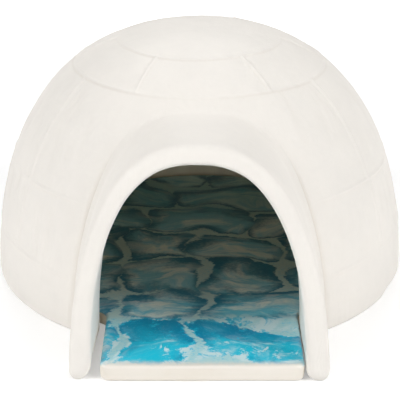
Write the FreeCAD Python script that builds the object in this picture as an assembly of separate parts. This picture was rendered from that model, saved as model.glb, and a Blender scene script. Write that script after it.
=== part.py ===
import FreeCAD, Part
import math
import os
from FreeCAD import Vector

# A ceramic igloo for small pets: a dome with a luted-on entrance porch, set over a printed floor plate.
# Millimetres. The origin is on the ground under the crown, +Z is up and the doorway faces -Y.

# The dome
dome_radius = 100.0  # outside, at the foot
dome_height = 118.0  # outside, at the crown
dome_wall = 8.0
dome_side_power = 2.6  # how full the dome's curve is at the shoulder
dome_crown_power = 2.06  # how soon it closes in above the foot
dome_foot_round = 2.4  # on the rim that stands on the ground

# The entrance porch
doorway_half_width = 44.2  # between the middle and a leg, at the ground
porch_below_crown = 20.6  # from the dome's crown down to the porch's ridge
porch_leg_wall = 10.0
porch_roof_wall = 7.8
porch_stand_out = 26.3  # how far the porch's feet stand ahead of the dome's foot
porch_lean = 10.0  # degrees that the front leans back
porch_side_power = 2.6
porch_crown_power = 1.9
doorway_side_power = 2.45
doorway_crown_power = 2.4
porch_foot_round = 3.5
porch_lip_round = 3.0

# The raised joints between the ice blocks
foot_course = 26.5  # from the ground up to the lowest level joint
second_course = 32.8  # from there up to the next
crown_cap = 5.0  # from the crown down to the highest level joint
cap_course = 11.0  # from there down to the next
blocks_per_course = 6
joint_bead = 1.2  # radius of the bead that a level joint is rolled as
joint_rise = 0.5  # how far a level joint stands out of the dome
joint_stop = 1.5  # between the end of a level joint and the porch
upright_joint_width = 1.0
upright_joint_drop = 0.15  # how much lower the upright joints are than the level ones

# The floor plate and its print
plate_thickness = 7.5
plate_clearance = 3.5  # between the plate and the inside of the dome, all round
tongue_clearance = 1.9  # between the tongue and each leg of the porch
plate_offset = 1.2  # how far to the right of the middle the loose plate lies
tongue_set_back = 1.8  # how far the tongue stays behind the porch's feet
tongue_corner_round = 4.0
tongue_root_round = 7.0  # in the hollow corner where the tongue leaves the round plate
plate_edge_round = 1.6
print_thickness = 0.2
print_margin = 0.2  # bare glaze between the print and the rounded edge

rounding_share = 0.42  # the most of a wall that one rounded edge takes
curve_points = 14  # points that draw a curve from its foot to its crown

# What follows from these sizes
chamber_radius = dome_radius - dome_wall
chamber_height = dome_height - dome_wall
porch_height = dome_height - porch_below_crown
porch_half_width = doorway_half_width + porch_leg_wall
doorway_height = porch_height - porch_roof_wall
porch_reach = dome_radius + porch_stand_out
upright_joint_rise = joint_rise - upright_joint_drop
highest_joint = dome_height - crown_cap
level_joints = [
    foot_course,
    foot_course + second_course,
    highest_joint - cap_course,
    highest_joint,
]
plate_radius = chamber_radius - plate_clearance
tongue_half_width = doorway_half_width - tongue_clearance
tongue_reach = porch_reach - tongue_set_back

ORIGIN = Vector(0, 0, 0)
UP = Vector(0, 0, 1)
SIDEWAYS = Vector(1, 0, 0)
FOOT = 0.0
CROWN = math.pi / 2
TINY = 1e-6


class EggCurve:
    """A full, egg-like curve in the XZ plane, from its foot at angle 0 to its crown at a right angle."""

    def __init__(self, half_width, height, side_power, crown_power):
        self.half_width = half_width
        self.height = height
        self.side_power = side_power
        self.crown_power = crown_power

    def point(self, angle, out=0.0):
        """The point at an angle, moved out of the curve by a distance."""
        across = max(math.cos(angle), 0.0) ** (2 / self.side_power)
        up = max(math.sin(angle), 0.0) ** (2 / self.crown_power)
        normal = Vector(
            self.side_power * across ** (self.side_power - 1) / self.half_width,
            0,
            self.crown_power * up ** (self.crown_power - 1) / self.height,
        )
        normal.normalize()
        return Vector(self.half_width * across, 0, self.height * up) + normal * out

    def angle_at(self, height):
        return math.asin((height / self.height) ** (self.crown_power / 2))

    def edge(self, start, end, out=0.0):
        """The stretch between two angles as one smooth edge."""
        count = max(4, round(curve_points * abs(end - start) / CROWN))
        angles = [start + (end - start) * step / (count - 1) for step in range(count)]
        curve = Part.BSplineCurve()
        curve.interpolate([self.point(angle, out) for angle in angles])
        return curve.toShape()

    def arch(self):
        """The curve and its mirror image, which make an arch over the middle."""
        half = self.edge(FOOT, CROWN)
        return [half, half.mirror(ORIGIN, SIDEWAYS)]


dome_curve = EggCurve(dome_radius, dome_height, dome_side_power, dome_crown_power)
chamber_curve = EggCurve(chamber_radius, chamber_height, dome_side_power, dome_crown_power)
porch_curve = EggCurve(porch_half_width, porch_height, porch_side_power, porch_crown_power)
doorway_curve = EggCurve(doorway_half_width, doorway_height, doorway_side_power, doorway_crown_power)


def line(start, end):
    return Part.makeLine(start, end)


def filled(edges):
    """The flat face inside edges that join end to end."""
    return Part.Face(Part.Wire(Part.__sortEdges__(edges)))


def turned(curve):
    """The solid of one full turn of the space under a curve."""
    crown = curve.point(CROWN)
    foot = curve.point(FOOT)
    section = filled([curve.edge(FOOT, CROWN), line(crown, ORIGIN), line(ORIGIN, foot)])
    return section.revolve(ORIGIN, UP, 360)


def edges_at(solid, height):
    return [
        edge for edge in solid.Edges if all(abs(vertex.Z - height) < TINY for vertex in edge.Vertexes)
    ]


def upright_edges(solid, side, y):
    """The two upright edges at one distance from the middle."""
    return [
        edge
        for edge in solid.Edges
        if abs(abs(edge.CenterOfMass.x) - side) < TINY and abs(edge.CenterOfMass.y - y) < TINY
    ]


def dome_block():
    """The outside of the dome, filled in."""
    return turned(dome_curve)


def chamber_block():
    """The hollow inside the dome."""
    return turned(chamber_curve)


def archway(curve):
    """The space under an arch, from well ahead of the porch to the middle of the dome."""
    foot = curve.point(FOOT)
    sill = line(-foot, foot)
    block = filled([*curve.arch(), sill]).extrude(Vector(0, 2 * porch_reach, 0))
    block.translate(Vector(0, -2 * porch_reach, 0))
    return block


def level_joint(height):
    """The bead round the dome between two courses. Below the porch's ridge it stops short of the porch."""
    middle = dome_curve.point(dome_curve.angle_at(height), joint_rise - joint_bead)
    gap = 0.0
    if height < porch_height:
        porch_side = porch_curve.point(porch_curve.angle_at(height)).x
        gap = math.degrees(math.asin((porch_side + joint_stop) / middle.x))
    bead = Part.makeTorus(middle.x, joint_bead, Vector(0, 0, middle.z), UP, 0, 360, 360 - 2 * gap)
    bead.rotate(ORIGIN, UP, gap - 90)
    return bead


def upright_joint(low, high, azimuth):
    """The joint between two blocks of one course. Azimuth is in degrees from the front."""
    start = dome_curve.angle_at(low)
    end = dome_curve.angle_at(high)
    face = filled(
        [
            dome_curve.edge(start, end, upright_joint_rise),
            dome_curve.edge(start, end, -joint_bead),
            line(dome_curve.point(start, upright_joint_rise), dome_curve.point(start, -joint_bead)),
            line(dome_curve.point(end, upright_joint_rise), dome_curve.point(end, -joint_bead)),
        ]
    )
    joint = face.extrude(Vector(0, upright_joint_width, 0))
    joint.translate(Vector(0, -upright_joint_width / 2, 0))
    joint.rotate(ORIGIN, UP, azimuth - 90)
    return joint


def upright_joints():
    """The upright joints of each course, as far as they show beside the porch."""
    block = 360 / blocks_per_course
    joints = []
    for low, high in zip(level_joints, level_joints[1:]):
        shift = block / 2 if high == highest_joint else 0  # the top course lies half a block round
        joints += [upright_joint(low, high, shift + block * count) for count in range(blocks_per_course)]
    covered = archway(porch_curve)
    showing = [joint.cut(covered) for joint in joints]
    return [joint for joint in showing if joint.Solids]


def ground_ahead_of_porch():
    """The space ahead of the porch's front, which leans back from its feet."""
    side = -2 * porch_half_width
    set_back = porch_height * math.tan(math.radians(porch_lean))
    foot = Vector(side, -porch_reach, 0)
    top = Vector(side, -porch_reach + 2 * set_back, 2 * porch_height)
    ahead_top = Vector(side, -2 * porch_reach, 2 * porch_height)
    ahead_foot = Vector(side, -2 * porch_reach, 0)
    outline = Part.makePolygon([foot, top, ahead_top, ahead_foot, foot])
    return Part.Face(outline).extrude(Vector(-2 * side, 0, 0))


def porch_arch():
    """The porch before it is fitted to the dome: an arch with rounded soles and a rounded front lip."""
    soles = [
        line(Vector(side * doorway_half_width, 0, 0), Vector(side * porch_half_width, 0, 0))
        for side in (-1, 1)
    ]
    section = filled([*porch_curve.arch(), *doorway_curve.arch(), *soles])
    arch = section.extrude(Vector(0, porch_reach, 0))
    arch.translate(Vector(0, -porch_reach, 0))
    arch = arch.cut(ground_ahead_of_porch())
    foot_round = min(porch_foot_round, rounding_share * porch_leg_wall)
    sole_edges = [edge for edge in edges_at(arch, 0) if abs(edge.tangentAt(edge.FirstParameter).y) > 0.9]
    arch = arch.makeFillet(foot_round, sole_edges)
    lip_round = min(porch_lip_round, rounding_share * porch_roof_wall)
    front = min(arch.Faces, key=lambda face: face.CenterOfMass.y)
    return arch.makeFillet(lip_round, front.OuterWire.Edges)


def dome_and_porch():
    """The two clay parts of the igloo. The porch's back is cut to the dome that it is luted to."""
    block = dome_block()
    shell = block.cut(chamber_block())
    foot_round = min(dome_foot_round, rounding_share * dome_wall)
    shell = shell.makeFillet(foot_round, edges_at(shell, 0))
    shell = shell.cut(archway(doorway_curve))
    for height in level_joints:
        shell = shell.fuse(level_joint(height))
    return shell.fuse(upright_joints()), porch_arch().cut(block)


def plate_and_print():
    """The floor plate, a disc with a tongue through the doorway, and the print fired on its top."""
    disc = Part.makeCylinder(plate_radius, plate_thickness)
    tongue = Part.makeBox(2 * tongue_half_width, tongue_reach, plate_thickness)
    tongue.translate(Vector(-tongue_half_width, -tongue_reach, 0))
    plate = disc.fuse(tongue).removeSplitter()
    root = -math.sqrt(plate_radius**2 - tongue_half_width**2)
    plate = plate.makeFillet(tongue_root_round, upright_edges(plate, tongue_half_width, root))
    corners = upright_edges(plate, tongue_half_width, -tongue_reach)
    plate = plate.makeFillet(tongue_corner_round, corners)

    edge_round = min(plate_edge_round, rounding_share * plate_thickness)
    top = max(plate.Faces, key=lambda face: face.CenterOfMass.z)
    decal = top.makeOffset2D(-edge_round - print_margin).extrude(Vector(0, 0, print_thickness))
    outline = edges_at(plate, 0) + edges_at(plate, plate_thickness)
    plate = plate.makeFillet(edge_round, outline)
    for piece in (plate, decal):
        piece.translate(Vector(plate_offset, 0, 0))
    return plate, decal


dome_shell, entrance_porch = dome_and_porch()
floor_plate, floor_decal = plate_and_print()
nodes = {
    "dome_shell": dome_shell,
    "entrance_porch": entrance_porch,
    "floor_plate": floor_plate,
    "floor_decal": floor_decal,
}

os.makedirs("parts", exist_ok=True)
for name, shape in nodes.items():
    shape.exportStep(f"parts/{name}.step")
    print(name, "solids", len(shape.Solids), "valid", shape.isValid(), "mm3", round(shape.Volume))
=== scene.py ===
from math import atan2, copysign, cos, pi, radians, sin, sqrt, tan
import bmesh
import bpy
import numpy as np
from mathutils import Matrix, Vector


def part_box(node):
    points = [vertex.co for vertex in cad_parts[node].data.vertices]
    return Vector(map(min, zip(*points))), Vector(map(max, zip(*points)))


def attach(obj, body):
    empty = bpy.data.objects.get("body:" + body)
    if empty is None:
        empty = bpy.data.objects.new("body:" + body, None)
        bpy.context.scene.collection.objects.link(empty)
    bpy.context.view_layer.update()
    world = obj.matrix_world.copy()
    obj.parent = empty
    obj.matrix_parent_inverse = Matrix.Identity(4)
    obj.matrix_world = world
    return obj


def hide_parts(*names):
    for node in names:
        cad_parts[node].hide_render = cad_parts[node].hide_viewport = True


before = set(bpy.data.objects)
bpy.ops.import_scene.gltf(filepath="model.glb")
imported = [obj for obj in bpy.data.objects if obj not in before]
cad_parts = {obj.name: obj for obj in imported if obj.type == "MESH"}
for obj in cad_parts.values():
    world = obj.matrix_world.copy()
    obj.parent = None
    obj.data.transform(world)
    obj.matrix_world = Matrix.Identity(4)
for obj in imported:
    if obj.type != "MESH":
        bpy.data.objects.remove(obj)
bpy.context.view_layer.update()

# A glazed ceramic igloo for small pets on its printed floor plate. Metres, the doorway faces -Y.

mm = 0.001
tiny = 1e-6
rightAngle = pi / 2
domeLow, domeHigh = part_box("dome_shell")
porchLow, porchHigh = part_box("entrance_porch")
plateLow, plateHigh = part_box("floor_plate")


# Helpers for shapes

def smooth(low, high, value):
    # Eases from 0 at low to 1 at high
    share = np.clip((value - low) / (high - low), 0, 1)
    return share * share * (3 - 2 * share)


def bell(distance, width):
    return np.exp(-((distance / width) ** 2))


def wrapped(degrees):
    return (degrees + 180) % 360 - 180


def ripples(points, wave, seed, count=9):
    # Even random waves of about one wavelength, -1 to 1
    rng = np.random.default_rng(seed)
    direction = rng.normal(size=(count, 3))
    direction /= np.linalg.norm(direction, axis=1)[:, None]
    length = wave * rng.uniform(0.7, 1.5, count)
    phase = rng.uniform(0, 2 * pi, count)
    turns = points @ (direction / length[:, None]).T * 2 * pi + phase
    return np.sin(turns).sum(axis=-1) / sqrt(count) / 1.4


def unevenness(points, waves, seed):
    return sum(depth * ripples(points, wave, seed + count) for count, (wave, depth) in enumerate(waves))


def lengthAlong(across, up):
    # Distance along a curve
    return np.append(0, np.cumsum(np.hypot(np.diff(across), np.diff(up))))


def marksAlong(length, centres, step, fineStep, reach):
    # Places along a length, closer together near the centres
    marks = [0.0]
    while marks[-1] < length:
        near = min(abs(marks[-1] - centre) for centre in centres)
        share = min(max((near - reach) / reach, 0), 1)
        marks.append(marks[-1] + fineStep + (step - fineStep) * share)
    return np.array(marks) * length / marks[-1]


def addObject(name, data):
    added = bpy.data.objects.new(name, data)
    bpy.context.scene.collection.objects.link(added)
    return added


def meshPiece(name, points, faces):
    mesh = bpy.data.meshes.new(name)
    mesh.from_pydata([tuple(point) for point in points], [], faces)
    mesh.validate()
    mesh.update()
    return addObject(name, mesh)


def outwardNormals(mesh):
    work = bmesh.new()
    work.from_mesh(mesh)
    bmesh.ops.recalc_face_normals(work, faces=work.faces)
    work.to_mesh(mesh)
    work.free()
    mesh.update()


def ringFaces(grid):
    # Faces between the rings of a grid, and the numbers of its corners
    rings = np.arange(grid.shape[0] * grid.shape[1]).reshape(grid.shape[:2])
    following = np.roll(rings, -1, axis=1)
    quads = np.stack([rings[:-1], following[:-1], following[1:], rings[1:]], axis=-1).reshape(-1, 4)
    return [tuple(quad) for quad in quads.tolist()], rings


def ringSolid(name, grid):
    # A closed solid through rings of points, with flat ends
    faces, rings = ringFaces(grid)
    faces.append(tuple(rings[0][::-1].tolist()))
    faces.append(tuple(rings[-1].tolist()))
    piece = meshPiece(name, grid.reshape(-1, 3), faces)
    outwardNormals(piece.data)
    return piece


# The dome: one closed shell of revolution with the relief of its ice blocks

dome = dict(
    radius=(domeHigh.x - domeLow.x) / 2 - 0.25 * mm,  # less the relief
    height=domeHigh.z - 0.2 * mm,
    wall=8.0 * mm,
    sidePower=2.6,  # fullness at the shoulder
    crownPower=2.06,  # and above the foot
    footRound=2.4 * mm,
    footCalm=5 * mm,  # the relief fades below this height
    waves=((60 * mm, 0.25 * mm), (17 * mm, 0.085 * mm), (7 * mm, 0.055 * mm)),  # length and depth
    knock=dict(azimuth=66.0, depth=1.1 * mm, width=9 * mm, height=8 * mm),
    outlineSteps=6000,
    rows=(1.4 * mm, 0.42 * mm, 2.6 * mm),  # step of the mesh, step near a joint and how near
    columns=(1.0, 0.40, 2.6),  # the same in degrees
    insideRows=26,
    roundSteps=7,
)

joints = dict(
    levels=[26.5 * mm, 59.3 * mm, 102.0 * mm, 113.0 * mm],
    strength=[0.55, 0.60, 0.95, 0.90],
    blocks=6,  # in each course
    ridgeHeight=0.50 * mm,
    ridgeWidth=0.70 * mm,
    poolAndShade=(0.9 * mm, 0.6 * mm),  # of pooled glaze and painted shade on the shaded side of a ridge: distance and width
    level=dict(
        wander=0.5 * mm,
        wanderWave=70 * mm,
        patches=(0.8, 0.35),  # middle and swing of the strength
        patchWave=45 * mm,
        back=0.6,  # strength, where the front has 1
        capBack=0.15,  # the same for the joint round the cap
        capFade=(0.45, 0.85),
        hollow=(0.25, 2.4 * mm, 1.5 * mm),  # share of the ridge's height, distance and width
        # a paler line just above the ridge, on its lit side: painted highlight with thin glaze
        thinAndLit=(0.3 * mm, 0.7 * mm),
        thinAndLitShare=0.8,
    ),
    upright=dict(
        spread=1.2,  # degrees
        slant=1.0 * mm,
        end=1 * mm,  # each end fades over this
        strength=(0.65, 1.0),
        courseStrength=[1.0, 1.25, 1.0],
        # painted shade with pooled glaze on the shaded side of the uprights, course by course, and a painted
        # highlight with thin glaze on their middle
        coursePoolAndShade=[0.35, 0.35, 0.7],
        hollow=(0.3, 2.2 * mm, 1.4 * mm),
        thinAndLit=(0.0, 0.95 * mm),
    ),
)

strokes = dict(  # of the chisel, in each block
    carveDepth=0.75 * mm,
    count=(9, 17),
    uprightShare=0.75,  # the other blocks have level strokes
    force=(0.55, 1.0),
    topForce=0.5,
    depth=(0.35, 1.0),
    ways=[1, 1, -0.5],  # above the lowest course one stroke in three stands out
    upBlock=(0.14, 0.86),
    acrossBlock=(0.07, 0.93),
    uprightLength=(9 * mm, 24 * mm),
    levelLength=(7 * mm, 18 * mm),
    width=(1.3 * mm, 2.8 * mm),
    tilt=11.0,  # degrees
    bow=6.0,  # per metre
    # darker in the carved strokes: painted shade, with glaze pooled there
    poolAndShade=0.22,
    front=0.45,  # strength at the front, what the sides add and what the back takes off
    sides=0.95,
    sidesTurn=(25, 65),  # degrees from the front
    back=0.55,
    backTurn=(80, 125),
    topCourse=0.7,
)

combs = dict(  # finer strokes in a row beside the tall uprights
    count=4,
    length=(9 * mm, 19 * mm),
    drop=3 * mm,
    dropSpread=6 * mm,
    first=2.4,  # degrees from the upright, and from stroke to stroke
    step=2.3,
    spread=0.5,
    width=(0.6 * mm, 0.9 * mm),
    tilt=5.0,
    depth=0.6,
)


def domeRadiusAt(height, inset=0.0):
    up = np.clip(height / (dome["height"] - inset), 0, 1) ** dome["crownPower"]
    return (dome["radius"] - inset) * np.clip(1 - up, 0, 1) ** (1 / dome["sidePower"])


def domeFront(x, z, inset=0.0):
    # Y of the dome's front wall over a place in the XZ plane
    return -np.sqrt(np.maximum(domeRadiusAt(z, inset) ** 2 - x**2, 0))


def domeOutline():
    # Radius, height and length down the outside from the crown
    angle = np.linspace(rightAngle, 0, dome["outlineSteps"])
    radius = dome["radius"] * np.clip(np.cos(angle), 0, 1) ** (2 / dome["sidePower"])
    height = dome["height"] * np.sin(angle) ** (2 / dome["crownPower"])
    radius[0] = 0
    return radius, height, lengthAlong(radius, height)


def addRidge(skin, look, away, shaded, strength, poolAndShade, thinAndLit):
    # One raised joint, by the distance from its middle and that towards its shaded side, with a darker line
    # of painted shade and pooled glaze on that side and a paler line of painted highlight and thin glaze at
    # its middle or just towards its lit side
    deep, aside, width = look["hollow"]
    ridge = bell(away, joints["ridgeWidth"]) - deep * bell(np.abs(away) - aside, width)
    skin["relief"] += joints["ridgeHeight"] * strength * ridge
    aside, width = joints["poolAndShade"]
    skin["pooledAndShaded"] = np.maximum(skin["pooledAndShaded"], poolAndShade * bell(shaded - aside, width))
    aside, width = look["thinAndLit"]
    skin["thinAndLit"] = np.maximum(skin["thinAndLit"], thinAndLit * bell(shaded + aside, width))


def addLevelJoints(skin, spot):
    look = joints["level"]
    flat = spot["points"] * [1, 1, 0]
    front = 0.5 + 0.5 * np.cos(np.radians(spot["azimuth"]))
    middle, spread = look["patches"]
    for count, (level, share) in enumerate(zip(joints["levels"], joints["strength"])):
        wander = look["wander"] * ripples(flat, look["wanderWave"], 20 + count)
        patches = middle + spread * ripples(flat, look["patchWave"], 30 + count)
        strength = share * patches * (look["back"] + (1 - look["back"]) * front)
        if count == len(joints["levels"]) - 1:
            strength = strength * (look["capBack"] + (1 - look["capBack"]) * smooth(*look["capFade"], front))
        away = spot["along"] - spot["alongOf"](level) - wander
        # below a level joint is its shaded side, where shade is painted
        addRidge(skin, look, away, away, strength, share * strength, look["thinAndLitShare"] * strength)


def addUprightJoints(skin, spot, rng):
    look = joints["upright"]
    levels = joints["levels"]
    along = spot["along"]
    turn = 360 / joints["blocks"]
    for course, (low, high) in enumerate(zip(levels, levels[1:])):
        start = turn / 2 if high == levels[-1] else 0.0  # the top course lies half a block round
        foot, top = spot["alongOf"](low), spot["alongOf"](high)
        between = smooth(top - look["end"], top + look["end"], along)
        between = between * smooth(-foot - look["end"], -foot + look["end"], -along)
        for block in range(joints["blocks"]):
            seam = start + turn * block + rng.normal(0, look["spread"])
            slant = rng.normal(0, look["slant"])
            lean = slant * (along - (foot + top) / 2) / ((foot - top) / 2)
            away = np.radians(wrapped(spot["azimuth"] - seam)) * spot["radius"] - lean
            strength = rng.uniform(*look["strength"]) * between * look["courseStrength"][course]
            # the side of an upright away from the front is its shaded side, where shade is painted
            outward = -away * copysign(1, sin(radians(seam)))
            poolAndShade = look["coursePoolAndShade"][course] * strength
            addRidge(skin, look, away, outward, strength, poolAndShade, np.minimum(strength, 1))


def blockStrokes(alongOf, rng):
    # Azimuth, place along the outline, length, width, tilt and depth of each stroke
    cuts = []
    edges = [0.0, *joints["levels"]]
    topCourse = len(edges) - 2
    turn = 360 / joints["blocks"]
    for course, (low, high) in enumerate(zip(edges, edges[1:])):
        start = turn / 2 if course == topCourse else 0.0
        top, foot = alongOf(high), alongOf(low)
        for block in range(joints["blocks"]):
            upright = course < topCourse and rng.uniform() < strokes["uprightShare"]
            force = rng.uniform(*strokes["force"]) * (strokes["topForce"] if course == topCourse else 1.0)
            for stroke in range(int(rng.integers(*strokes["count"]))):
                place = top + (foot - top) * rng.uniform(*strokes["upBlock"])
                length = rng.uniform(*strokes["uprightLength" if upright else "levelLength"])
                if upright:
                    length = min(length, 2 * (place - top), 2 * (foot - place))
                azimuth = start + turn * (block + rng.uniform(*strokes["acrossBlock"]))
                width = rng.uniform(*strokes["width"])
                tilt = radians(rng.normal(0.0 if upright else 90.0, strokes["tilt"]))
                depth = force * rng.uniform(*strokes["depth"])
                if course:
                    depth = depth * rng.choice(strokes["ways"])
                cuts.append((azimuth, place, length, width, tilt, depth))

    top = alongOf(joints["levels"][2])
    for block in range(joints["blocks"]):
        way = -copysign(1, sin(radians(turn * block)))
        for count in range(combs["count"]):
            length = rng.uniform(*combs["length"])
            place = top + combs["drop"] + 0.5 * length + rng.uniform(0, combs["dropSpread"])
            aside = combs["first"] + combs["step"] * count + rng.uniform(-combs["spread"], combs["spread"])
            width = rng.uniform(*combs["width"])
            tilt = radians(rng.normal(0, combs["tilt"]))
            cuts.append((turn * block + way * aside, place, length, width, tilt, combs["depth"]))
    return cuts


def addStrokes(skin, spot, rng):
    aside = np.abs(wrapped(spot["azimuth"]))
    share = strokes["front"] + strokes["sides"] * smooth(*strokes["sidesTurn"], aside)
    share = share - strokes["back"] * smooth(*strokes["backTurn"], aside)
    share = np.where(spot["points"][:, 2] > joints["levels"][2], strokes["topCourse"], share)
    for azimuth, place, length, width, tilt, depth in blockStrokes(spot["alongOf"], rng):
        across = np.radians(wrapped(spot["azimuth"] - azimuth)) * spot["radius"]
        down = spot["along"] - place
        lengthwise = down * cos(tilt) + across * sin(tilt)
        sideways = across * cos(tilt) - down * sin(tilt) + strokes["bow"] * lengthwise**2
        dent = np.exp(-((sideways / width) ** 2) - (lengthwise / (0.5 * length)) ** 4)
        skin["relief"] -= strokes["carveDepth"] * depth * share * dent
        # painted shade, with pooled glaze, in each stroke
        skin["pooledAndShaded"] = np.maximum(skin["pooledAndShaded"], strokes["poolAndShade"] * depth * dent)


def domeRelief(spot):
    # How far the outside stands out of its curve, and its tone: over 0 for painted shade with pooled glaze,
    # under 0 for painted highlight with thin glaze
    rng = np.random.default_rng(11)
    points = spot["points"]
    skin = {
        "relief": unevenness(points, dome["waves"], 3),
        "pooledAndShaded": np.zeros(len(points)),
        "thinAndLit": np.zeros(len(points)),
    }
    addLevelJoints(skin, spot)
    addUprightJoints(skin, spot, rng)
    addStrokes(skin, spot, rng)

    # Calm close to the porch, with a groove beside its legs, also darkened in colour as painted shade
    ahead = points[:, 1] < 0
    gap = porchGap(points[:, 0], points[:, 2]) - porch["sideCove"][0]
    calm = 1 - ahead * bell(np.maximum(gap, 0), porch["calmReach"])
    groove = ahead * (1 - roofShare(points[:, 2])) * bell(gap, porch["creaseWidth"])
    relief = skin["relief"] * calm - porch["creaseDepth"] * groove
    # the groove's darkening is painted shade
    tone = np.maximum((skin["pooledAndShaded"] - skin["thinAndLit"]) * calm, groove)
    return relief, tone


def buildDome():
    outRadius, outHeight, outAlong = domeOutline()

    def alongOf(height):
        return float(np.interp(height, outHeight[::-1], outAlong[::-1]))

    halfBlock = 180 / joints["blocks"]
    seams = [halfBlock * step for step in range(2 * joints["blocks"] + 1)]
    columns = marksAlong(360.0, seams, *dome["columns"])[:-1]
    levels = [alongOf(level) for level in joints["levels"]]
    rows = marksAlong(outAlong[-1], levels, *dome["rows"])[1:]
    radius = np.interp(rows, outAlong, outRadius)
    height = np.interp(rows, outAlong, outHeight)

    # The outside ends in a rounded foot, and the inside starts from another
    foot, wall = dome["footRound"], dome["wall"]
    keep = height > foot
    radius, height, rows = radius[keep], height[keep], rows[keep]
    bend = np.linspace(0, rightAngle, dome["roundSteps"])
    edge = float(domeRadiusAt(foot))
    radius = np.append(radius, edge - foot + foot * np.cos(bend))
    height = np.append(height, foot - foot * np.sin(bend))
    rows = np.append(rows, rows[-1] + foot * (bend + 0.2))
    insideAngle = np.linspace(0, rightAngle, dome["insideRows"])
    insideHeight = (dome["height"] - wall) * np.sin(insideAngle) ** (2 / dome["crownPower"])
    insideHeight = insideHeight[insideHeight > foot + 1 * mm][:-1]
    insideRadius = domeRadiusAt(insideHeight, wall)
    innerEdge = float(domeRadiusAt(foot, wall))
    insideRadius = np.append(innerEdge + foot - foot * np.sin(bend), insideRadius)
    insideHeight = np.append(foot - foot * np.cos(bend), insideHeight)

    azimuth = np.radians(columns)
    sweep = np.stack([np.sin(azimuth), -np.cos(azimuth)], axis=-1)

    def turned(radii, heights):
        xy = radii[:, None, None] * sweep[None]
        z = np.broadcast_to(heights[:, None, None], (*xy.shape[:2], 1))
        return np.concatenate([xy, z], axis=-1)

    outside = turned(radius, height)
    flat = outside.reshape(-1, 3)
    spot = {
        "points": flat,
        "azimuth": np.tile(columns, len(outside)),  # degrees from the front
        "radius": np.hypot(flat[:, 0], flat[:, 1]),
        "along": np.interp(flat[:, 2], outHeight[::-1], outAlong[::-1]),
        "alongOf": alongOf,
    }
    relief, tone = domeRelief(spot)
    knock = dome["knock"]
    aside = np.radians(wrapped(spot["azimuth"] - knock["azimuth"])) * spot["radius"]
    dent = knock["depth"] * bell(aside, knock["width"]) * bell(flat[:, 2], knock["height"])
    push = (relief * smooth(0, dome["footCalm"], flat[:, 2]) - dent)[:, None]
    upward = np.repeat(np.clip(np.gradient(radius, rows), 0, 1), len(columns))  # 1 at the crown
    outward = np.sqrt(1 - upward**2) / spot["radius"]
    flat = flat + push * np.stack([outward * flat[:, 0], outward * flat[:, 1], upward], axis=-1)

    grid = np.concatenate([flat.reshape(outside.shape), turned(insideRadius, insideHeight)])
    faces, rings = ringFaces(grid)
    crown = rings.size
    ceiling = crown + 1
    poles = [[0, 0, dome["height"] + push[0, 0]], [0, 0, dome["height"] - wall]]
    points = np.concatenate([grid.reshape(-1, 3), poles])
    faces += [(crown, int(a), int(b)) for a, b in zip(rings[0], np.roll(rings[0], -1))]
    faces += [(ceiling, int(b), int(a)) for a, b in zip(rings[-1], np.roll(rings[-1], -1))]
    piece = meshPiece("domeShell", points, faces)
    outwardNormals(piece.data)

    # the tone goes to the glaze as the seam attribute: painted shade and highlight at the joints, painted
    # shade in the groove
    seam = piece.data.attributes.new("seam", "FLOAT", "POINT")
    values = np.zeros(len(points), dtype=np.float32)
    values[: len(tone)] = tone
    seam.data.foreach_set("value", values)

    firstInside = (len(outside) + len(bend) // 2) * len(columns)
    for face in piece.data.polygons:
        inside = min(face.vertices) >= firstInside and crown not in face.vertices
        face.material_index = 1 if inside else 0
    return piece


# The porch: one closed profile swept along the arch

porch = dict(
    halfWidth=(porchHigh.x - porchLow.x) / 2,
    height=porchHigh.z,
    reach=-porchLow.y,
    legWall=10.0 * mm,
    roofWall=7.8 * mm,
    sidePower=2.6,
    crownPower=1.9,
    doorSidePower=2.45,
    doorCrownPower=2.4,
    lean=radians(10.0),
    # Width and height of the rounded feet, left and right
    outerFoot=((2.6 * mm, 4.2 * mm), (3.6 * mm, 5.4 * mm)),
    doorFoot=((5.0 * mm, 9.0 * mm), (5.0 * mm, 6.0 * mm)),
    tunnelFoot=(3.0 * mm, 4.0 * mm),  # the same on both
    lipDepth=3.3 * mm,
    lipPower=3.1,  # 2 is round, more is flatter
    roofFrom=(0.62, 0.92),  # shares of the height, from legs to roof
    roofCove=(2.4 * mm, 5.2 * mm),  # rise and length of the fillet to the dome
    sideCove=(1.8 * mm, 9.0 * mm),
    # How far the clay under the dome's surface reaches out and in, soft over the roof, sharp beside the legs
    softRoot=((1.0 * mm, 2.0 * mm), (0.5 * mm, 0.4 * mm)),
    sharpRoot=((-1.8 * mm, 3.0 * mm), (-0.7 * mm, 1.0 * mm)),
    creaseDepth=0.7 * mm,  # of the groove beside the legs
    creaseWidth=0.9 * mm,
    calmReach=5 * mm,
    legFlare=(0.6 * mm, -0.1 * mm),  # how much wider the doorway's front is, left and right
    flareFade=(0.75, 0.1),  # shares of the height
    bellMouth=3.5 * mm,
    flange=7.5 * mm,
    flangeBack=(2.5 * mm, 0.4 * mm),  # how far its hidden edge lies ahead and in
    overlap=0.1 * mm,  # into the dome's wall
    skew=-0.009,  # sideways drift per height of the front
    footSlip=1.9 * mm,  # how far the left foot stays behind the right
    slipFade=0.6,  # share of the half width
    waves=((34 * mm, 0.16 * mm), (12 * mm, 0.064 * mm)),  # length and depth
    outlineSteps=4000,
    rowStep=1.6 * mm,
    footRows=14,
    steps=dict(cove=10, roof=16, lip=27, tunnel=16, bell=8),
)

doorwayCut = dict(  # the hole in the dome
    wallShare=0.48,  # how deep it lies in the porch's wall
    below=10 * mm,
    shift=0.013 * mm,
    reach=(-2 * dome["radius"], -0.2 * dome["radius"]),
)


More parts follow.
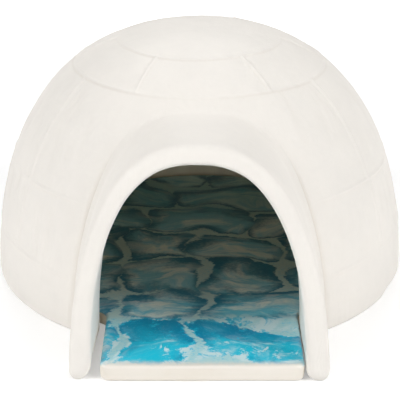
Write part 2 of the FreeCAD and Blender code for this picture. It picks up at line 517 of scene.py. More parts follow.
def archSlope(x, z):
    # The way straight out of the porch's arch, across and up, not of length 1
    wide, high = porch["halfWidth"], porch["height"]
    side, crown = porch["sidePower"], porch["crownPower"]
    across = side * (np.abs(x) / wide) ** (side - 1) / wide * np.sign(x)
    return across, crown * (np.clip(z, 0, None) / high) ** (crown - 1) / high


def porchGap(x, z):
    # How far outside the porch's arch a place of the XZ plane lies
    across = (np.abs(x) / porch["halfWidth"]) ** porch["sidePower"]
    up = (np.clip(z, 0, None) / porch["height"]) ** porch["crownPower"]
    return (across + up - 1) / np.maximum(np.hypot(*archSlope(x, z)), tiny)


def inDoorway(x, z):
    across = (np.abs(x) / (porch["halfWidth"] - porch["legWall"])) ** porch["doorSidePower"]
    up = (np.abs(z) / (porch["height"] - porch["roofWall"])) ** porch["doorCrownPower"]
    return across + up < 1


def roofShare(z):
    # 0 beside the legs, 1 over the roof
    return smooth(*porch["roofFrom"], z / porch["height"])


def archPoint(turn):
    # A place on the arch, from the right foot at 0 to the left at half a turn
    across = porch["halfWidth"] * np.sign(np.cos(turn)) * np.abs(np.cos(turn)) ** (2 / porch["sidePower"])
    up = porch["height"] * np.abs(np.sin(turn)) ** (2 / porch["crownPower"])
    return across, up


def footInset(height, rounding):
    # How far a rounded foot draws a wall in
    width, rise = rounding
    share = min(max(1 - height / rise, 0), 1)
    return width * (1 - sqrt(1 - share**2))


def archRows():
    # Along the arch: a place outside, the way out and the wall there
    turn = np.linspace(0, rightAngle, porch["outlineSteps"])
    across, up = archPoint(turn)
    along = lengthAlong(across, up)
    foot = max(rise for width, rise in porch["doorFoot"])
    low = foot - foot * np.cos(np.linspace(0, rightAngle, porch["footRows"]))
    footTurn = np.interp(low, up, turn)
    start = float(np.interp(foot, up, along))
    count = round((along[-1] - start) / porch["rowStep"])
    restTurn = np.interp(np.linspace(start, along[-1], count + 1)[1:], along, turn)
    half = np.append(footTurn, restTurn)
    x, z = archPoint(np.append(half, pi - half[-2::-1]))

    outX, outZ = archSlope(x, z)
    size = np.hypot(outX, outZ)
    outX, outZ = outX / size, outZ / size
    near = np.zeros_like(x)
    far = np.full_like(x, 2 * porch["legWall"])
    for halving in range(40):
        middle = (near + far) / 2
        inside = inDoorway(x - outX * middle, z - outZ * middle)
        near = np.where(inside, near, middle)
        far = np.where(inside, middle, far)
    outers = np.stack([x, z], axis=-1)
    ways = np.stack([outX, outZ], axis=-1)
    return list(zip(outers, ways, far.tolist()))


def porchProfile(outer, out, wall):
    # One loop of points, each a Y and a distance from the doorway's wall
    inner = outer - out * wall
    leg = 0 if outer[0] < 0 else 1
    inset = footInset(outer[1], porch["outerFoot"][leg])
    doorInset = footInset(outer[1], porch["doorFoot"][leg])
    tunnelInset = footInset(outer[1], porch["tunnelFoot"])
    steps = porch["steps"]

    def place(offset):
        return inner + out * offset

    def onDome(offset, inside=0.0):
        x, z = place(offset)
        return float(domeFront(x, max(z, 0), inside))

    def frontAt(offset):
        return -porch["reach"] + place(offset)[1] * tan(porch["lean"]) + inset

    # From under the dome's surface out along the cove
    top = float(roofShare(outer[1]))
    rise, length = [top * roof + (1 - top) * side for roof, side in zip(porch["roofCove"], porch["sideCove"])]
    skin = wall - inset
    joint = skin + rise
    end = onDome(joint) + porch["overlap"] * (1 - top)
    begin = end - length
    loop = []
    for (softOut, softIn), (sharpOut, sharpIn) in zip(porch["softRoot"], porch["sharpRoot"]):
        soft = onDome(joint + softOut) + softIn
        sharp = end + sharpIn
        loop.append((top * soft + (1 - top) * sharp, joint + top * softOut + (1 - top) * sharpOut))
    for share in np.linspace(1, 0, steps["cove"]):
        loop.append((begin + length * share, skin + rise * share**2))

    # Forward along the outside and round the lip
    lip = porch["lipDepth"]
    flare = porch["legFlare"][leg] * float(smooth(*porch["flareFade"], outer[1] / porch["height"]))
    door = doorInset + flare
    lipStart = frontAt(skin) + lip
    for share in np.linspace(0, 1, steps["roof"])[1:]:
        loop.append((begin + (lipStart - begin) * share, skin))
    middle = (skin + door) / 2
    half = (skin - door) / 2
    power = 2 / porch["lipPower"]
    for angle in np.linspace(0, pi, steps["lip"])[1:]:
        turn = cos(angle)
        offset = middle + half * copysign(abs(turn) ** power, turn)
        loop.append((frontAt(offset) + lip - lip * abs(sin(angle)) ** power, offset))

    # Back through the doorway to a flange inside the dome
    mouth = porch["bellMouth"]
    tunnelStart = loop[-1][0]
    tunnelEnd = onDome(tunnelInset, dome["wall"]) - mouth
    for share in np.linspace(0, 1, steps["tunnel"])[1:]:
        loop.append((tunnelStart + (tunnelEnd - tunnelStart) * share, door + (tunnelInset - door) * share))
    for angle in np.linspace(0, rightAngle, steps["bell"])[1:]:
        offset = tunnelInset + mouth * (1 - cos(angle))
        y = onDome(offset, dome["wall"]) - mouth * (1 - sin(angle))
        loop.append((y + porch["overlap"], offset))
    flange = tunnelInset + porch["flange"]
    flangeY = onDome(flange, dome["wall"])
    flangeAhead, flangeIn = porch["flangeBack"]
    loop.append((flangeY + porch["overlap"], flange))
    loop.append((flangeY - flangeAhead, flange - flangeIn))

    points = []
    for y, offset in loop:
        x, z = place(offset)
        forward = float(np.clip((end - y) / max(end - lipStart, tiny), 0, 1))
        slip = float(smooth(porch["slipFade"], -porch["slipFade"], x / porch["halfWidth"]))
        points.append((x + porch["skew"] * z * forward, y + porch["footSlip"] * forward * slip, max(z, 0.0)))
    return points


def buildPorch():
    grid = np.array([porchProfile(*row) for row in archRows()])
    piece = ringSolid("entrancePorch", grid)
    points = grid.reshape(-1, 3)
    normals = np.zeros(points.size)
    piece.data.vertices.foreach_get("normal", normals)
    shift = unevenness(points, porch["waves"], 51)
    ahead = domeFront(points[:, 0], points[:, 2]) - points[:, 1]
    shift = shift * smooth(0, 4 * mm, points[:, 2]) * smooth(1 * mm, 8 * mm, ahead)  # none at the edges
    moved = points + normals.reshape(-1, 3) * shift[:, None]
    piece.data.vertices.foreach_set("co", moved.ravel())
    piece.data.update()
    return piece


def cutDoorway(piece):
    # The hole is hidden inside the porch's wall
    middle = np.array([outer - doorwayCut["wallShare"] * wall * out for outer, out, wall in archRows()])
    # No corner falls on the dome's rows and columns, which would leave slivers
    middle[[0, -1], 1] = -doorwayCut["below"]
    across = middle[:, 0] + doorwayCut["shift"]
    rings = [np.stack([across, np.full_like(across, y), middle[:, 1]], axis=-1) for y in doorwayCut["reach"]]
    cutter = ringSolid("cutter", np.array(rings))
    hole = piece.modifiers.new("doorway", "BOOLEAN")
    hole.operation = "DIFFERENCE"
    hole.solver = "EXACT"
    hole.object = cutter
    cut = bpy.data.meshes.new_from_object(piece.evaluated_get(bpy.context.evaluated_depsgraph_get()))
    piece.modifiers.clear()
    spares = [piece.data, cutter.data]
    piece.data = cut
    bpy.data.objects.remove(cutter)
    for spare in spares:
        bpy.data.meshes.remove(spare)


# The floor plate and its print: rings of one outline

plate = dict(
    radius=(plateHigh.x - plateLow.x) / 2,
    middle=(plateHigh.x + plateLow.x) / 2,
    thickness=plateHigh.z,
    tongueReach=-plateLow.y,
    tongueHalfWidth=42.5 * mm,
    cornerRound=4.0 * mm,
    leastRound=0.3 * mm,
    rootRound=7.0 * mm,
    edgeRound=1.6 * mm,
    soleRound=2.2 * mm,
    unevenness=0.12 * mm,
    wave=30 * mm,
    printSkin=0.05 * mm,  # out of the glaze and into it
    printLap=0.75,  # share of the rounded edge
    flatRings=(1 * mm, 5 * mm),  # in from the rounded edge
    roundSteps=7,
    lapSteps=6,
    sideSteps=4,
    outlineSteps=dict(front=30, corner=9, side=22, root=9, disc=80),
)


def plateOutline(inset):
    # The plate's outline, drawn in, from the middle of the front round to the right
    radius = plate["radius"] - inset
    half = plate["tongueHalfWidth"] - inset
    front = plate["tongueReach"] - inset
    corner = max(plate["cornerRound"] - inset, plate["leastRound"])
    root = plate["rootRound"] + inset
    rootY = -sqrt((radius + root) ** 2 - (half + root) ** 2)
    steps = plate["outlineSteps"]

    def arc(x, y, size, start, end, count):
        turn = np.linspace(start, end, count)
        return np.stack([x + size * np.cos(turn), y + size * np.sin(turn)], axis=-1)

    toDisc = atan2(-rootY, -(half + root))
    fromRoot = atan2(rootY, half + root)
    right = np.concatenate([
        np.linspace((0, -front), (half - corner, -front), steps["front"])[:-1],
        arc(half - corner, corner - front, corner, -rightAngle, 0, steps["corner"])[:-1],
        np.linspace((half, corner - front), (half, rootY), steps["side"])[:-1],
        arc(half + root, rootY, root, pi, toDisc, steps["root"])[:-1],
        arc(0, 0, radius, fromRoot, rightAngle, steps["disc"]),
    ])
    left = right[-2:0:-1] * [-1, 1]
    outline = np.concatenate([right, left])
    flat = np.concatenate([outline, np.zeros((len(outline), 1))], axis=1)
    away = outline / np.linalg.norm(outline, axis=1)[:, None]
    draw = plate["unevenness"] * (ripples(flat, plate["wave"], 61) - 1.0)  # inwards only
    return outline + away * draw[:, None] + [plate["middle"], 0]


def plateRings(levels):
    # The outline at each inset and height
    rings = []
    for inset, z in levels:
        outline = plateOutline(inset)
        rings.append(np.concatenate([outline, np.full((len(outline), 1), z)], axis=1))
    return np.array(rings)


def buildPlate():
    edge, sole, top = plate["edgeRound"], plate["soleRound"], plate["thickness"]
    bend = np.linspace(0, rightAngle, plate["roundSteps"])
    levels = [(sole + inset, 0.0) for inset in reversed(plate["flatRings"])]
    levels += [(sole - sole * sin(b), sole - sole * cos(b)) for b in bend]
    levels += [(0.0, z) for z in np.linspace(sole, top - edge, plate["sideSteps"])[1:-1]]
    levels += [(edge - edge * cos(b), top - edge + edge * sin(b)) for b in bend]
    levels += [(edge + inset, top) for inset in plate["flatRings"]]
    return ringSolid("floorPlate", plateRings(levels))


def buildPrint():
    # A thin skin over the plate's top that laps the rounded edge
    edge, top, skin = plate["edgeRound"], plate["thickness"], plate["printSkin"]
    bend = np.linspace(0, plate["printLap"] * rightAngle, plate["lapSteps"])

    def layer(offset):
        size = edge + offset
        flat = [(edge + inset, top + offset) for inset in reversed(plate["flatRings"])]
        return flat + [(edge - size * sin(b), top - edge + size * cos(b)) for b in bend]

    return ringSolid("floorPrint", plateRings([*layer(-skin), *reversed(layer(skin))]))


# Helpers for nodes

def newGroup(name, inputs, outputs):
    # A vector goes in, with numbers and colours
    group = bpy.data.node_groups.new(name, "ShaderNodeTree")
    add = group.interface.new_socket
    add("Vector", in_out="INPUT", socket_type="NodeSocketVector")
    for label, value in inputs.items():
        kind = "Float" if isinstance(value, float) else "Color"
        add(label, in_out="INPUT", socket_type="NodeSocket" + kind).default_value = value
    for label, kind in outputs.items():
        add(label, in_out="OUTPUT", socket_type="NodeSocket" + kind)
    return group, group.nodes.new("NodeGroupInput"), group.nodes.new("NodeGroupOutput")


def link(output, socket):
    output.id_data.links.new(output, socket)


def fill(node, values):
    for key, value in values.items():
        node.inputs[key].default_value = value


def put(kind, settings=None, **values):
    # Adds a node beside the output that is among its values. i0, i1 are inputs by their place
    tree = next(value.id_data for value in values.values() if isinstance(value, bpy.types.NodeSocket))
    node = tree.nodes.new("ShaderNode" + kind)
    for key, value in (settings or {}).items():
        setattr(node, key, value)
    for key, value in values.items():
        socket = node.inputs[int(key[1:])] if key[0] == "i" and key[1:].isdigit() else node.inputs[key]
        if isinstance(value, bpy.types.NodeSocket):
            link(value, socket)
        else:
            socket.default_value = value
    return node


def calculate(operation, a, b=0.0, c=0.0):
    return put("Math", {"operation": operation}, i0=a, i1=b, i2=c).outputs[0]


def plus(a, b):
    return calculate("ADD", a, b)


def minus(a, b):
    return calculate("SUBTRACT", a, b)


def times(a, b):
    return calculate("MULTIPLY", a, b)


def larger(a, b):
    return calculate("MAXIMUM", a, b)


def vectors(operation, a, b, c=(0, 0, 0)):
    return put("VectorMath", {"operation": operation}, i0=a, i1=b, i2=c).outputs[0]


def stretched(vector, scale):
    return put("Mapping", Vector=vector, Scale=scale).outputs[0]


def mixColour(share, a, b):
    return put("Mix", {"data_type": "RGBA"}, i0=share, i6=a, i7=b).outputs[2]


def ramp(value, low, high, start=0.0, end=1.0):
    # Eases from start to end while the value goes from low to high
    eased = {"interpolation_type": "SMOOTHSTEP"}
    return put("MapRange", eased, i0=value, i1=low, i2=high, i3=start, i4=end).outputs[0]


def noise(vector, scale, detail=3.0, rough=0.5, distortion=0.0):
    kind = {"noise_dimensions": "3D"}
    amounts = {"Scale": scale, "Detail": detail, "Roughness": rough, "Distortion": distortion}
    return put("TexNoise", kind, Vector=vector, **amounts).outputs[0]


def rgba(colour):
    return (*colour, 1.0)


# Finishes

glaze = dict(
    colour=(0.875, 0.838, 0.786),
    shade=(0.835, 0.802, 0.755),
    joint=(0.79, 0.745, 0.685),  # painted shade, with pooled glaze, beside a joint and in the groove by the porch
    ridge=(0.975, 0.958, 0.925),  # painted highlight, with thin glaze, on a joint
    roughness=0.55,
    gloss=0.15,
    ripple=0.090 * mm,
    scratches=0.90,
)

bareClay = dict(
    colour=(0.86, 0.78, 0.62),
    shade=(0.79, 0.70, 0.53),
    roughness=0.70,
    gloss=0.12,
    ripple=0.040 * mm,
    scratches=0.2,
)

plateGlaze = dict(
    colour=(0.88, 0.83, 0.755),
    shade=(0.84, 0.78, 0.69),
    roughness=0.36,
    ripple=0.030 * mm,
    glazedFrom=(-100 * mm, -92 * mm),  # glaze ahead of this, bare clay behind
    glazedWander=8 * mm,
)

icePrint = dict(
    cobble=(44 * mm, 32 * mm),  # width and depth of a cobble
    offset=(0.0, 24 * mm),
    inks=("Pale", "Wash", "Rim", "Joint"),
    # the inside inks are duller and warmer than the front ones and the rear inks darker: partly the print's
    # own zones, partly painted shade and warm shade light under the dome
    rear=((0.40, 0.57, 0.53), (0.10, 0.37, 0.43), (0.006, 0.13, 0.20), (0.27, 0.44, 0.42)),
    inside=((0.90, 0.90, 0.80), (0.26, 0.58, 0.64), (0.008, 0.17, 0.255), (0.58, 0.68, 0.61)),
    front=((0.74, 0.89, 0.91), (0.011, 0.62, 0.84), (0.001, 0.31, 0.55), (0.50, 0.78, 0.82)),
    rearFrom=(5 * mm, 55 * mm),  # darker at the back, partly painted shade under the dome
    blueFrom=-50 * mm,  # stronger from here on
    blueShare=0.42,
    # the strong front colours start where the porch's shade ends: partly the print's own front zone, partly
    # painted light
    frontFrom=-76 * mm,
    frontTo=-87 * mm,
    frontWander=10 * mm,
    splashes=0.9,
    raggedness=3.0 * mm,  # of the print's front end
    endFade=(-0.8 * mm, 4.6 * mm),
    roughness=0.30,
)

cobbles = dict(  # lengths in depths of a cobble
    wave=(0.60, 0.95, 0),  # how far the rows bend, and the edges of each cobble
    waver=(0.09, 0.12, 0),
    rowShift=7.0,
    edgeShift=0.5,
    roundness=0.34,
    gap=(-0.03, 0.085),  # half the joint, narrowest and widest
    edge=(-0.010, 0.030),
    edgeFlecks=0.014,
    cloudSpread=0.16,
    paleStreaks=0.30,
    darkStreaks=0.22,
    streaksLost=0.8,  # in the splashes of the front
    rimWidth=(0.12, 0.44),
    rimFar=(0.65, 1.55),  # how much wider, on the near and far side
    rimFlecks=0.12,
    rimStreaks=0.10,
    rimBroken=0.45,
    line=(0.055, 0.020),
    lineFlecks=0.01,
    lineShare=0.85,
    swirls=0.75,
    specks=0.5,
    stains=0.6,
)


def glazeToneGroup():
    # Uneven depth of a glaze as soft clouds, and at the joints a darker line of painted shade with pooled
    # glaze and a paler line of painted highlight with thin glaze
    tints = {key.capitalize(): rgba(glaze[key]) for key in ("colour", "shade", "joint", "ridge")}
    inputs = {**tints, "Seam": 0.0, "Roughness": glaze["roughness"]}
    group, start, end = newGroup("glazeTone", inputs, {"Colour": "Color", "Roughness": "Float"})
    vector, seam = start.outputs["Vector"], start.outputs["Seam"]
    cloud = ramp(noise(vector, 26.0, 4.0, 0.55), 0.35, 0.70)
    fine = ramp(noise(vector, 190.0, 3.0, 0.6), 0.40, 0.75)
    share = plus(times(cloud, 0.65), times(fine, 0.25))
    colour = mixColour(share, start.outputs["Colour"], start.outputs["Shade"])
    # painted shade with pooled glaze beside the joints, then painted highlight with thin glaze on them
    colour = mixColour(larger(seam, 0.0), colour, start.outputs["Joint"])
    thinAndLit = larger(times(seam, -1.0), 0.0)
    colour = mixColour(thinAndLit, colour, start.outputs["Ridge"])
    sheen = calculate("MULTIPLY_ADD", cloud, 0.10, -0.04)
    link(colour, end.inputs["Colour"])
    link(plus(start.outputs["Roughness"], sheen), end.inputs["Roughness"])
    return group


def glazeRippleGroup():
    # Height of a fired glaze's soft unevenness and of the upright tool marks under it
    group, start, end = newGroup("glazeRipple", {"Scratches": 0.0}, {"Height": "Float"})
    vector = start.outputs["Vector"]
    wide = noise(vector, 85.0, 2.0, 0.45)
    peel = noise(vector, 420.0, 2.0, 0.5)
    height = plus(wide, times(peel, 0.22))
    drawn = stretched(vector, (1, 1, 0.18))
    marks = ramp(noise(drawn, 330.0, 3.0, 0.6, 0.4), 0.35, 0.65)
    height = plus(height, times(marks, start.outputs["Scratches"]))
    link(height, end.inputs["Height"])
    return group


def iceCobbleGroup():
    # A washed print of rounded ice cobbles: wet dark rims, pale clouded middles, light joints
    inks = {ink: rgba(colour) for ink, colour in zip(icePrint["inks"], icePrint["inside"])}
    group, start, end = newGroup("iceCobbles", {**inks, "Splash": 0.0}, {"Colour": "Color"})
    pale, wash, rimInk, jointInk = [start.outputs[ink] for ink in inks]
    splashShare = start.outputs["Splash"]
    wide, deep = icePrint["cobble"]
    moved = vectors("ADD", start.outputs["Vector"], (*icePrint["offset"], 0))
    flat = stretched(moved, (1 / wide, 1 / deep, 0))

    def wander(vector, scale, detail, reach):
        plane = {"noise_dimensions": "2D"}
        drift = put("TexNoise", plane, Vector=vector, Scale=scale, Detail=detail)
        centred = vectors("SUBTRACT", drift.outputs["Color"], (0.5, 0.5, 0.5))
        return vectors("MULTIPLY_ADD", centred, reach, vector)

    def chance(*values):
        # A share at random for each set of numbers
        key = put("CombineXYZ", **{f"i{count}": value for count, value in enumerate(values)})
        white = put("TexWhiteNoise", {"noise_dimensions": "3D"}, Vector=key.outputs[0])
        return white.outputs["Value"]

    def edgeOf(column):
        shift = times(minus(chance(column, row, 1.5), 0.5), cobbles["edgeShift"])
        return plus(column, shift)

    def flecks(reach):
        return ramp(fleck, 0.3, 0.7, -reach, reach)

    # Rows of cobbles of uneven width, each row shifted
    bent = wander(wander(flat, 0.95, 1.0, cobbles["wave"]), 7.0, 2.0, cobbles["waver"])
    place = put("SeparateXYZ", i0=bent)
    row = calculate("FLOOR", place.outputs[1])
    up = minus(place.outputs[1], row)
    across = plus(place.outputs[0], times(chance(row, 0.5), cobbles["rowShift"]))
    column = calculate("FLOOR", across)
    fromLeft = minus(across, edgeOf(column))
    fromRight = minus(edgeOf(plus(column, 1.0)), across)
    leftSide, rightSide = [calculate("ABSOLUTE", side) for side in (fromLeft, fromRight)]
    sideways = calculate("MINIMUM", leftSide, rightSide)
    cell = minus(column, calculate("LESS_THAN", fromLeft, 0.0))
    cell = plus(cell, calculate("LESS_THAN", fromRight, 0.0))
    upright = calculate("MINIMUM", up, minus(1.0, up))
    body = calculate("SMOOTH_MIN", times(sideways, wide / deep), upright, cobbles["roundness"])
    body = minus(body, ramp(noise(flat, 1.3, 1.0), 0.32, 0.72, *cobbles["gap"]))
    fleck = noise(flat, 26.0, 3.0, 0.65)
    stone = ramp(plus(body, flecks(cobbles["edgeFlecks"])), *cobbles["edge"])

    # Clouded middle and fine brush streaks
    drawn = stretched(bent, (1.5, 2.6, 1))
    cloud = noise(drawn, 1.6, 5.0, 0.62, 0.6)
    cloud = plus(cloud, times(chance(cell, row, 3.5), cobbles["cloudSpread"]))
    streak = noise(stretched(bent, (4.0, 10.0, 1)), 1.0, 4.0, 0.65, 0.3)
    calm = minus(1.0, times(splashShare, cobbles["streaksLost"]))
    colour = mixColour(ramp(cloud, 0.45, 0.70), pale, wash)
    paleStreak = times(ramp(streak, 0.52, 0.72, 0.0, cobbles["paleStreaks"]), calm)
    darkStreak = times(ramp(streak, 0.46, 0.28, 0.0, cobbles["darkStreaks"]), calm)
    colour = mixColour(paleStreak, colour, pale)
    colour = mixColour(darkStreak, colour, rimInk)

    # A wet rim, widest on the far side and broken in places, with a drawn line round it
    width = ramp(noise(bent, 1.7, 2.0), 0.28, 0.70, *cobbles["rimWidth"])
    width = times(width, ramp(up, 0.25, 0.80, *cobbles["rimFar"]))
    share = plus(calculate("DIVIDE", body, width), flecks(cobbles["rimFlecks"]))
    brushed = ramp(streak, 0.3, 0.7, -cobbles["rimStreaks"], cobbles["rimStreaks"])
    share = plus(share, times(brushed, calm))
    broken = ramp(noise(drawn, 1.1, 2.0), 0.34, 0.54, cobbles["rimBroken"], 1.0)
    rim = times(ramp(share, 1.10, 0.10), broken)
    line = ramp(plus(body, flecks(cobbles["lineFlecks"])), *cobbles["line"])
    inked = ramp(noise(bent, 2.6, 2.0), 0.38, 0.56, 0.0, cobbles["lineShare"])
    colour = mixColour(larger(rim, times(line, inked)), colour, rimInk)

    # Deeper clouds in the strong colour of the front
    swirl = noise(stretched(bent, (2.2, 3.2, 1)), 1.0, 5.0, 0.6, 0.5)
    swirl = plus(swirl, ramp(up, 0.30, 0.90, -0.06, 0.16))
    swirl = ramp(swirl, 0.47, 0.70, 0.0, cobbles["swirls"])
    colour = mixColour(times(swirl, splashShare), colour, rimInk)

    # White splashes with a fringe of wash where the ink did not take, mostly along the edges
    splash = noise(stretched(flat, (4.3, 3.1, 1)), 1.0, 6.0, 0.72, 0.5)
    splash = plus(splash, ramp(body, 0.16, 0.01, -0.01, 0.09))
    splash = plus(splash, ramp(up, 0.10, 0.80, 0.03, -0.07))
    colour = mixColour(times(ramp(splash, 0.49, 0.57), splashShare), colour, wash)
    white = ramp(splash, 0.555, 0.635)
    speck = ramp(noise(flat, 64.0, 2.0, 0.6), 0.62, 0.74, 0.0, cobbles["specks"])
    colour = mixColour(times(larger(white, speck), splashShare), colour, pale)

    stain = times(ramp(fleck, 0.45, 0.68), ramp(cloud, 0.40, 0.75))
    joint = mixColour(times(stain, cobbles["stains"]), jointInk, wash)
    link(mixColour(stone, joint, colour), end.inputs["Colour"])
    return group


def newMaterial(name):
    material = bpy.data.materials.new(name)
    material.use_nodes = True
    tree = material.node_tree
    place = tree.nodes.new("ShaderNodeTexCoord").outputs["Object"]
    return material, tree.nodes["Principled BSDF"], place


def coat(shader, tone, **values):
    surface = put("Group", {"node_tree": tone}, **values)
    link(surface.outputs["Colour"], shader.inputs["Base Color"])
    link(surface.outputs["Roughness"], shader.inputs["Roughness"])


def roughen(shader, ripple, place, depth, scratches=0.0):
    height = put("Group", {"node_tree": ripple}, Vector=place, Scratches=scratches)
    bump = put("Bump", Strength=1.0, Distance=depth, Height=height.outputs["Height"])
    link(bump.outputs["Normal"], shader.inputs["Normal"])


def glazeMaterial(name, look, tone, ripple, seamed=False):
    material, shader, place = newMaterial(name)
    values = {"Colour": rgba(look["colour"]), "Shade": rgba(look["shade"]), "Roughness": look["roughness"]}
    # the seam attribute holds the painted shade and highlight of the dome's joints
    if seamed:
        attribute = shader.id_data.nodes.new("ShaderNodeAttribute")
        attribute.attribute_name = "seam"
        values["Seam"] = attribute.outputs["Fac"]
    coat(shader, tone, Vector=place, **values)
    roughen(shader, ripple, place, look["ripple"], look["scratches"])
    fill(shader, {"Specular IOR Level": look["gloss"]})
    return material


def plateMaterial(tone, ripple):
    # Cream glaze on the tongue, bare clay round the edge of the disc
    material, shader, place = newMaterial("creamGlaze")
    y = put("SeparateXYZ", i0=place).outputs[1]
    wander = times(noise(place, 90.0), plateGlaze["glazedWander"])
    bare = ramp(plus(y, wander), *plateGlaze["glazedFrom"])
    colour = mixColour(bare, rgba(plateGlaze["colour"]), rgba(bareClay["colour"]))
    shade = mixColour(bare, rgba(plateGlaze["shade"]), rgba(bareClay["shade"]))
    coat(shader, tone, Vector=place, Colour=colour, Shade=shade, Roughness=plateGlaze["roughness"])
    roughen(shader, ripple, place, plateGlaze["ripple"])
    return material


def printMaterial(cobbleGroup, ripple):
    material, shader, place = newMaterial("icePrint")
    y = put("SeparateXYZ", i0=place).outputs[1]
    drift = times(minus(noise(place, 38.0, 3.0), 0.5), icePrint["frontWander"])
    drifted = plus(y, drift)
    # front inks where light falls past the porch, inside and rear inks under the dome: partly painted light
    # and shade
    splash = ramp(drifted, icePrint["frontFrom"], icePrint["frontTo"])
    blue = ramp(drifted, icePrint["blueFrom"], icePrint["frontFrom"], 0.0, icePrint["blueShare"])
    front = larger(blue, splash)
    rear = ramp(drifted, *icePrint["rearFrom"])
    inks = {"Vector": place, "Splash": times(splash, icePrint["splashes"])}
    for ink, *colours in zip(*[icePrint[key] for key in ("inks", "inside", "rear", "front")]):
        inside, behind, ahead = [rgba(colour) for colour in colours]
        inks[ink] = mixColour(front, mixColour(rear, inside, behind), ahead)
    cobble = put("Group", {"node_tree": cobbleGroup}, **inks)
    # The print ends in a ragged line at the front edge
    ragged = noise(place, 420.0, 3.0, 0.6)
    edge = calculate("MULTIPLY_ADD", ragged, icePrint["raggedness"], -plate["tongueReach"])
    printed = ramp(minus(y, edge), *icePrint["endFade"])
    colour = mixColour(printed, rgba(plateGlaze["colour"]), cobble.outputs["Colour"])
    link(colour, shader.inputs["Base Color"])
    roughen(shader, ripple, place, plateGlaze["ripple"])
    fill(shader, {"Roughness": icePrint["roughness"]})
    return material


def finishPiece(piece, *materials):
    piece.data.shade_smooth()
    for count, material in enumerate(materials):
        if count < len(piece.data.materials):
            piece.data.materials[count] = material
        else:
            piece.data.materials.append(material)


# Build

tone = glazeToneGroup()
ripple = glazeRippleGroup()
whiteGlaze = glazeMaterial("whiteGlaze", glaze, tone, ripple, seamed=True)
insideClay = glazeMaterial("bareClay", bareClay, tone, ripple)
creamGlaze = plateMaterial(tone, ripple)
icePaint = printMaterial(iceCobbleGroup(), ripple)
print("materials ready")

domeShell = buildDome()
cutDoorway(domeShell)
finishPiece(domeShell, whiteGlaze, insideClay)
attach(domeShell, "igloo")
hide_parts("dome_shell")
print("dome", len(domeShell.data.polygons), "faces")

entrancePorch = buildPorch()
finishPiece(entrancePorch, whiteGlaze)
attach(entrancePorch, "igloo")
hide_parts("entrance_porch")
print("porch", len(entrancePorch.data.polygons), "faces")

floorPlate = buildPlate()
finishPiece(floorPlate, creamGlaze)
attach(floorPlate, "floor")
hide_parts("floor_plate")

floorPrint = buildPrint()
finishPiece(floorPrint, icePaint)
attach(floorPrint, "floor")
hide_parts("floor_decal")
print("plate and print")

# The stage: white floor, plain light

stage = dict(
    floorSize=8.0,
    floorDiffuse=(0.90, 0.90, 0.90),
    floorRoughness=0.9,
    floorGlow=0.32,
    whiteFrom=(0.30, 0.65),  # grows to full white between these distances
    worldLight=(0.05, 0.03),  # near the ground and overhead
    worldTurn=(0.40, 0.60),
    lampSize=0.9,
    lampDistance=1.5,
    lamps=dict(  # azimuth, height, share
        left=(-60, 32, 0.49),
        right=(60, 32, 0.495),
        lowLeft=(-60, 10, 0.115),
        lowRight=(60, 10, 0.118),
        overLeft=(-35, 50, 0.05),
        overRight=(35, 50, 0.05),
        back=(180, 52, 0.40),
        fill=(0, 5, 0.125),
    ),
    lampTarget=Vector((0, -0.02, 0.05)),
)

view = dict(
    lens=108.0,  # millimetres, on a sensor of this width
    sensor=36.0,
    shift=0.0015,
    nearest=0.01,
    place=(0, -0.551, 0.263),
    tilt=radians(67.0),
)


def lamp(name, azimuth, height, share):
    # A share of 1 lights a white surface that faces the lamp to full white
    turn, lift = radians(azimuth), radians(height)
    away = Vector((sin(turn) * cos(lift), -cos(turn) * cos(lift), sin(lift)))
    light = bpy.data.lights.new(name, "AREA")
    light.shape = "DISK"
    light.size = stage["lampSize"]
    light.energy = share * (pi * stage["lampDistance"]) ** 2
    lampObject = addObject(name, light)
    lampObject.location = stage["lampTarget"] + away * stage["lampDistance"]
    lampObject.rotation_euler = (-away).to_track_quat("-Z", "Y").to_euler()


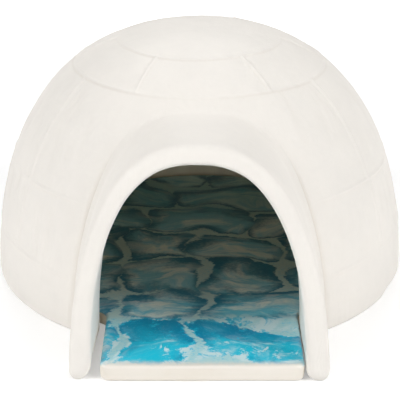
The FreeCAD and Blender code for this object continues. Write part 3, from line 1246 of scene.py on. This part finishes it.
def seenDirectly(tree):
    # 1 for what the camera sees, also in gloss or through glass
    path = tree.nodes.new("ShaderNodeLightPath")
    seen = larger(path.outputs["Is Camera Ray"], path.outputs["Is Glossy Ray"])
    return larger(seen, path.outputs["Is Transmission Ray"])


def buildFloor():
    size = stage["floorSize"]
    corners = [(-size, -size, 0), (size, -size, 0), (size, size, 0), (-size, size, 0)]
    floor = meshPiece("floor", corners, [(0, 1, 2, 3)])
    material, shader, place = newMaterial("floorWhite")
    fill(shader, {"Base Color": rgba(stage["floorDiffuse"]), "Roughness": stage["floorRoughness"]})
    fill(shader, {"Specular IOR Level": 0.0, "Emission Color": (1, 1, 1, 1)})
    away = put("VectorMath", {"operation": "LENGTH"}, i0=place).outputs["Value"]
    level = ramp(away, *stage["whiteFrom"], stage["floorGlow"], 1.0)
    link(times(seenDirectly(shader.id_data), level), shader.inputs["Emission Strength"])
    floor.data.materials.append(material)


def buildWorld():
    world = bpy.data.worlds.new("white")
    bpy.context.scene.world = world
    world.use_nodes = True
    tree = world.node_tree
    back = tree.nodes["Background"]
    way = tree.nodes.new("ShaderNodeTexCoord").outputs["Generated"]
    up = put("SeparateXYZ", i0=way).outputs[2]
    room = ramp(up, *stage["worldTurn"], *stage["worldLight"])
    strength = put("Mix", {"data_type": "FLOAT"}, i0=seenDirectly(tree), i2=room, i3=1.0)
    link(strength.outputs[0], back.inputs["Strength"])
    fill(back, {"Color": (1, 1, 1, 1)})


def buildCamera():
    camera = bpy.data.cameras.new("camera")
    camera.lens = view["lens"]
    camera.sensor_width = view["sensor"]
    camera.shift_x = view["shift"]
    camera.clip_start = view["nearest"]
    cameraObject = addObject("camera", camera)
    cameraObject.location = view["place"]
    cameraObject.rotation_euler = (view["tilt"], 0, 0)
    bpy.context.scene.camera = cameraObject
    bpy.context.scene.view_settings.view_transform = "Standard"


buildFloor()
buildWorld()
for name, (azimuth, height, share) in stage["lamps"].items():
    lamp(name, azimuth, height, share)
buildCamera()
print("stage ready")
